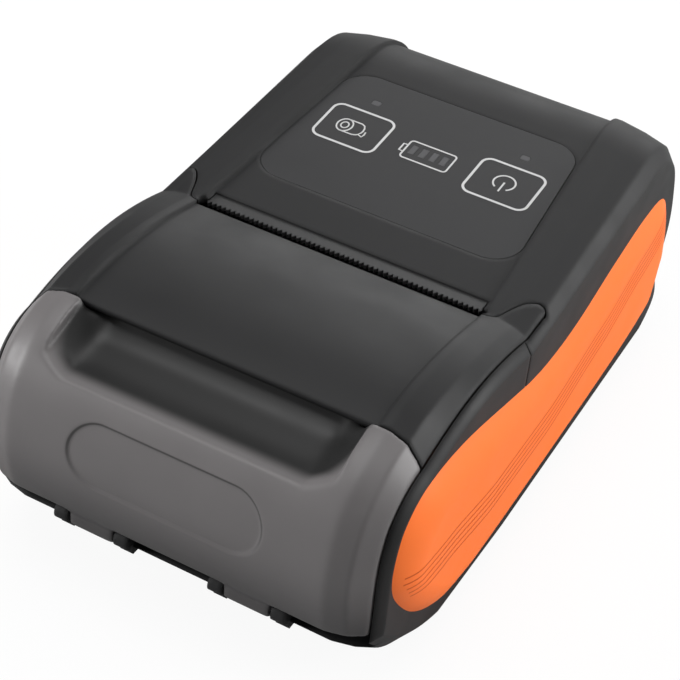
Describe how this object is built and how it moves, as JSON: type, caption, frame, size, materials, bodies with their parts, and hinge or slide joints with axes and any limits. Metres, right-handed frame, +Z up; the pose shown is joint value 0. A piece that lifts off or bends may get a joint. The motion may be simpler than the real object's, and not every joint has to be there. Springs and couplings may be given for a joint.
{
  "type": "portable receipt printer",
  "caption": "Portable thermal receipt printer with a hinged paper cover, orange side panels and a membrane key panel.",
  "frame": {"origin": "centre of the footprint at the height of the feet", "axes": "+X to the right side, +Y towards the key panel end, +Z up"},
  "size_m": [0.084, 0.1381, 0.0523],
  "materials": {
    "case_black": "fine matte texture",
    "side_orange": "satin",
    "smoke_shell": "smoked see-through gloss",
    "inner_black": "matte",
    "panel_sheet": "satin film",
    "light_pipe": "frosted",
    "steel": "bright",
    "brass": "satin",
    "roller_rubber": "matte",
    "gear_white": "satin",
    "board_green": "solder mask",
    "head_ceramic": "glazed",
    "heatsink": "satin",
    "motor_steel": "satin",
    "battery_wrap": "satin film",
    "component_black": "satin"
  },
  "bodies": {
    "base": {"base_case": "case_black", "upper_housing": "case_black", "side_panel_left": "side_orange", "side_panel_right": "side_orange", "panel_overlay": "panel_sheet", "tear_bar": "steel", "status_lights": "light_pipe", "gauge_lights": "light_pipe", "key_board": "board_green", "dome_switches": "component_black", "hinge_pins": "steel", "mech_frame": "inner_black", "head_pin": "steel", "head_springs": "steel", "gear_plate": "steel", "idler_pin": "steel", "stepper_motor": "motor_steel", "battery_pack": "battery_wrap", "battery_contacts": "brass", "main_board": "board_green", "board_screws": "steel", "case_screws": "steel", "usb_socket": "steel", "radio_module": "steel", "buzzer": "component_black", "paper_sensor": "component_black", "feet": "roller_rubber"},
    "cover": {"cover_top_plate": "case_black", "cover_shell": "smoke_shell", "cover_frame": "inner_black", "cover_screws": "steel", "platen_bushes": "brass"},
    "platen": {"platen_shaft": "steel", "platen_roller": "roller_rubber", "platen_gear": "gear_white"},
    "idler": {"idler_gear": "gear_white"},
    "pinion": {"motor_pinion": "gear_white", "motor_shaft": "steel"},
    "print_head": {"thermal_head": "head_ceramic", "head_heatsink": "heatsink"},
    "feed_button": {"feed_key": "panel_sheet"},
    "power_button": {"power_key": "panel_sheet"},
    "battery_hatch": {"battery_door": "inner_black"}
  },
  "joints": [
    {"name": "cover_hinge", "type": "hinge", "parent": "base", "child": "cover", "pos_m": [0, -0.0644, 0.0136], "axis": [1, 0, 0], "range_deg": [0, 95]},
    {"name": "platen_spin", "type": "hinge", "parent": "cover", "child": "platen", "pos_m": [0, -0.0176, 0.0374], "axis": [1, 0, 0], "continuous": true},
    {"name": "idler_spin", "type": "hinge", "parent": "base", "child": "idler", "pos_m": [0, -0.0104, 0.02711], "axis": [1, 0, 0], "continuous": true},
    {"name": "pinion_spin", "type": "hinge", "parent": "base", "child": "pinion", "pos_m": [0, -0.00128, 0.02286], "axis": [1, 0, 0], "continuous": true},
    {"name": "head_pivot", "type": "hinge", "parent": "base", "child": "print_head", "pos_m": [0, -0.01014, 0.0304], "axis": [-1, 0, 0], "range_deg": [0, 3], "stiffness_Nm_per_rad": 0.2, "springref_deg": -2.86},
    {"name": "feed_press", "type": "slide", "parent": "base", "child": "feed_button", "axis": [0, 0.0968, -0.9953], "range_m": [0, 0.00035], "stiffness_N_per_m": 900, "springref_m": -0.0002},
    {"name": "power_press", "type": "slide", "parent": "base", "child": "power_button", "axis": [0, 0.0968, -0.9953], "range_m": [0, 0.00035], "stiffness_N_per_m": 900, "springref_m": -0.0002},
    {"name": "battery_door_swing", "type": "hinge", "parent": "base", "child": "battery_hatch", "pos_m": [0, 0.0114, 0.00155], "axis": [-1, 0, 0], "range_deg": [0, 40]}
  ],
  "couplings": [
    {"joint": "idler_spin", "follows": "platen_spin", "ratio": -0.78571},
    {"joint": "pinion_spin", "follows": "platen_spin", "ratio": 1.8333}
  ]
}
